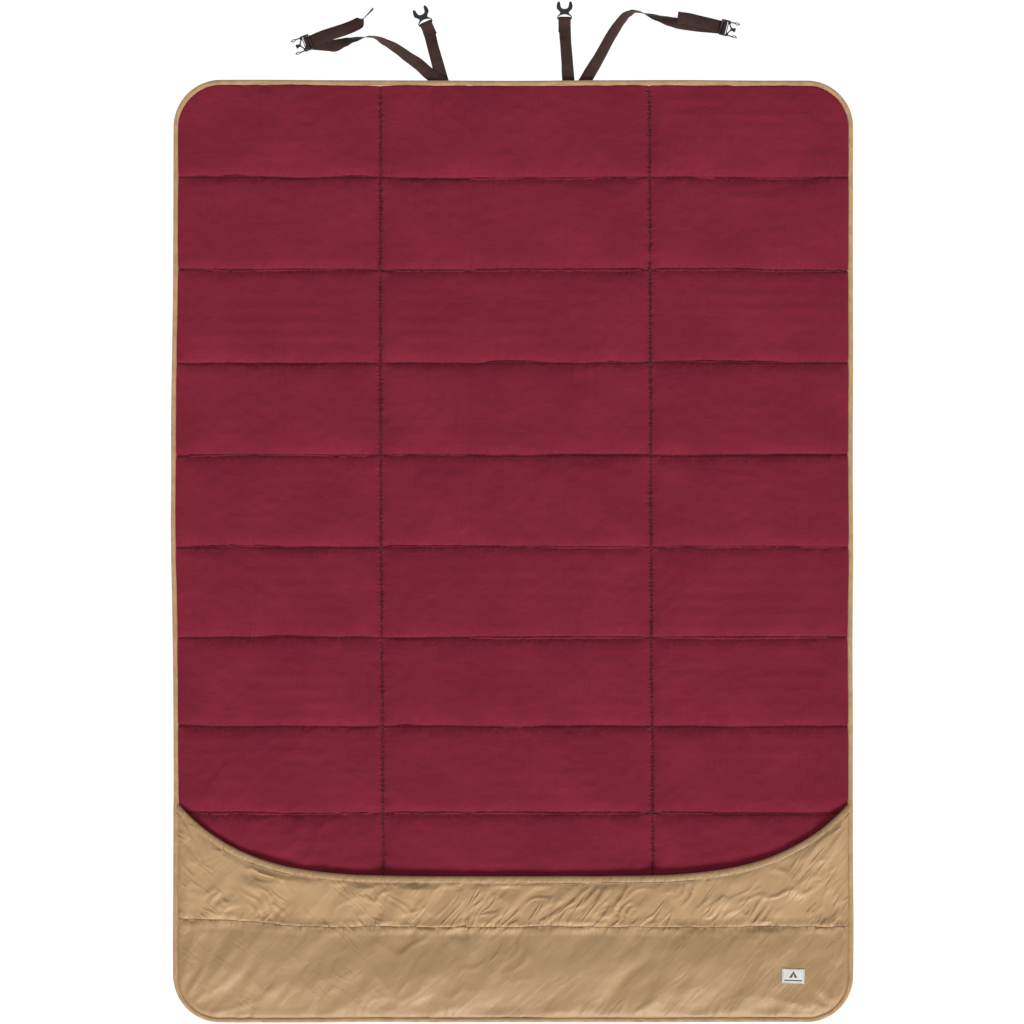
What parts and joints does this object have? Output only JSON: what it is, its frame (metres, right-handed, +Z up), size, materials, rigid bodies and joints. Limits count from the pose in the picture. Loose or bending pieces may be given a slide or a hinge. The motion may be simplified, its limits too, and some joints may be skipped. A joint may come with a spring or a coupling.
{
  "type": "camp blanket",
  "caption": "Quilted camp blanket with a foot pocket, bound edges and webbing straps with side-release buckles for rolling it up.",
  "frame": {"origin": "centre of the blanket's underside, on the surface that it lies on", "axes": "+Z up through the lining, +Y towards the edge with the straps, +X to the right when the foot pocket is nearest"},
  "size_m": [1.372, 2.0665, 0.0265],
  "materials": {
    "liner": "brushed",
    "shell": "taffeta",
    "pocket": "satin taffeta",
    "binding": "woven tape",
    "batting": "wadding",
    "webbing": "ribbed webbing",
    "buckle": "moulded",
    "label": "woven"
  },
  "bodies": {
    "centre": {"centre_shell": "shell", "centre_batting": "batting", "centre_liner": "liner", "centre_pocket_lining": "liner", "centre_pocket_batting": "batting", "centre_pocket_shell": "pocket", "centre_pocket_hem": "pocket", "centre_head_binding": "binding", "centre_foot_binding": "binding", "left_short_strap_root": "webbing", "left_long_strap_root": "webbing", "right_short_strap_root": "webbing", "right_long_strap_root": "webbing"},
    "left_third": {"left_shell": "shell", "left_batting": "batting", "left_liner": "liner", "left_pocket_lining": "liner", "left_pocket_batting": "batting", "left_pocket_shell": "pocket", "left_pocket_hem": "pocket", "left_head_binding": "binding", "left_foot_binding": "binding"},
    "right_third": {"right_shell": "shell", "right_batting": "batting", "right_liner": "liner", "right_pocket_lining": "liner", "right_pocket_batting": "batting", "right_pocket_shell": "pocket", "right_pocket_hem": "pocket", "right_head_binding": "binding", "right_foot_binding": "binding", "label": "label"},
    "left_short_strap": {"left_short_strap": "webbing", "left_socket": "buckle"},
    "left_long_strap": {"left_long_strap": "webbing", "left_strap_run": "webbing"},
    "left_plug": {"left_plug": "buckle", "left_strap_tail": "webbing"},
    "left_plug_right_prong": {"left_plug_right_prong": "buckle"},
    "left_plug_left_prong": {"left_plug_left_prong": "buckle"},
    "right_short_strap": {"right_short_strap": "webbing", "right_socket": "buckle"},
    "right_long_strap": {"right_long_strap": "webbing", "right_strap_run": "webbing"},
    "right_plug": {"right_plug": "buckle", "right_strap_tail": "webbing"},
    "right_plug_right_prong": {"right_plug_right_prong": "buckle"},
    "right_plug_left_prong": {"right_plug_left_prong": "buckle"}
  },
  "joints": [
    {"name": "left_third_fold", "type": "hinge", "parent": "centre", "child": "left_third", "pos_m": [-0.264, 0, 0.025], "axis": [0, 1, 0], "range_deg": [0, 180]},
    {"name": "right_third_fold", "type": "hinge", "parent": "centre", "child": "right_third", "pos_m": [0.28, 0, 0.038], "axis": [0, -1, 0], "range_deg": [0, 180]},
    {"name": "left_short_strap_lift", "type": "hinge", "parent": "centre", "child": "left_short_strap", "pos_m": [-0.15011, 0.9863, 0.0015], "axis": [0.9613, 0.2756, 0], "range_deg": [0, 90]},
    {"name": "left_long_strap_lift", "type": "hinge", "parent": "centre", "child": "left_long_strap", "pos_m": [-0.17054, 0.97076, 0.0033], "axis": [0.6018, 0.7986, 0], "range_deg": [0, 90]},
    {"name": "left_plug_slide", "type": "slide", "parent": "left_long_strap", "child": "left_plug", "axis": [-0.9962, 0.0872, 0], "range_m": [0, 0.015], "deforming": ["left_strap_run"]},
    {"name": "left_plug_right_prong_flex", "type": "hinge", "parent": "left_plug", "child": "left_plug_right_prong", "pos_m": [-0.43137, 1.03969, 0.0048], "axis": [0, 0, 1], "range_deg": [0, 8], "stiffness_Nm_per_rad": 0.05},
    {"name": "left_plug_left_prong_flex", "type": "hinge", "parent": "left_plug", "child": "left_plug_left_prong", "pos_m": [-0.42148, 1.01392, 0.0048], "axis": [0, 0, -1], "range_deg": [0, 8], "stiffness_Nm_per_rad": 0.05},
    {"name": "right_short_strap_lift", "type": "hinge", "parent": "centre", "child": "right_short_strap", "pos_m": [0.11279, 0.97458, 0.0015], "axis": [0.9969, 0.0785, 0], "range_deg": [0, 90]},
    {"name": "right_long_strap_lift", "type": "hinge", "parent": "centre", "child": "right_long_strap", "pos_m": [0.15843, 0.97172, 0.0015], "axis": [0.866, -0.5, 0], "range_deg": [0, 90]},
    {"name": "right_plug_slide", "type": "slide", "parent": "right_long_strap", "child": "right_plug", "axis": [0.9962, -0.0872, 0], "range_m": [0, 0.015], "deforming": ["right_strap_run"]},
    {"name": "right_plug_right_prong_flex", "type": "hinge", "parent": "right_plug", "child": "right_plug_right_prong", "pos_m": [0.43801, 1.04558, 0.0048], "axis": [0, 0, 1], "range_deg": [0, 8], "stiffness_Nm_per_rad": 0.05},
    {"name": "right_plug_left_prong_flex", "type": "hinge", "parent": "right_plug", "child": "right_plug_left_prong", "pos_m": [0.44469, 1.07236, 0.0048], "axis": [0, 0, -1], "range_deg": [0, 8], "stiffness_Nm_per_rad": 0.05}
  ]
}
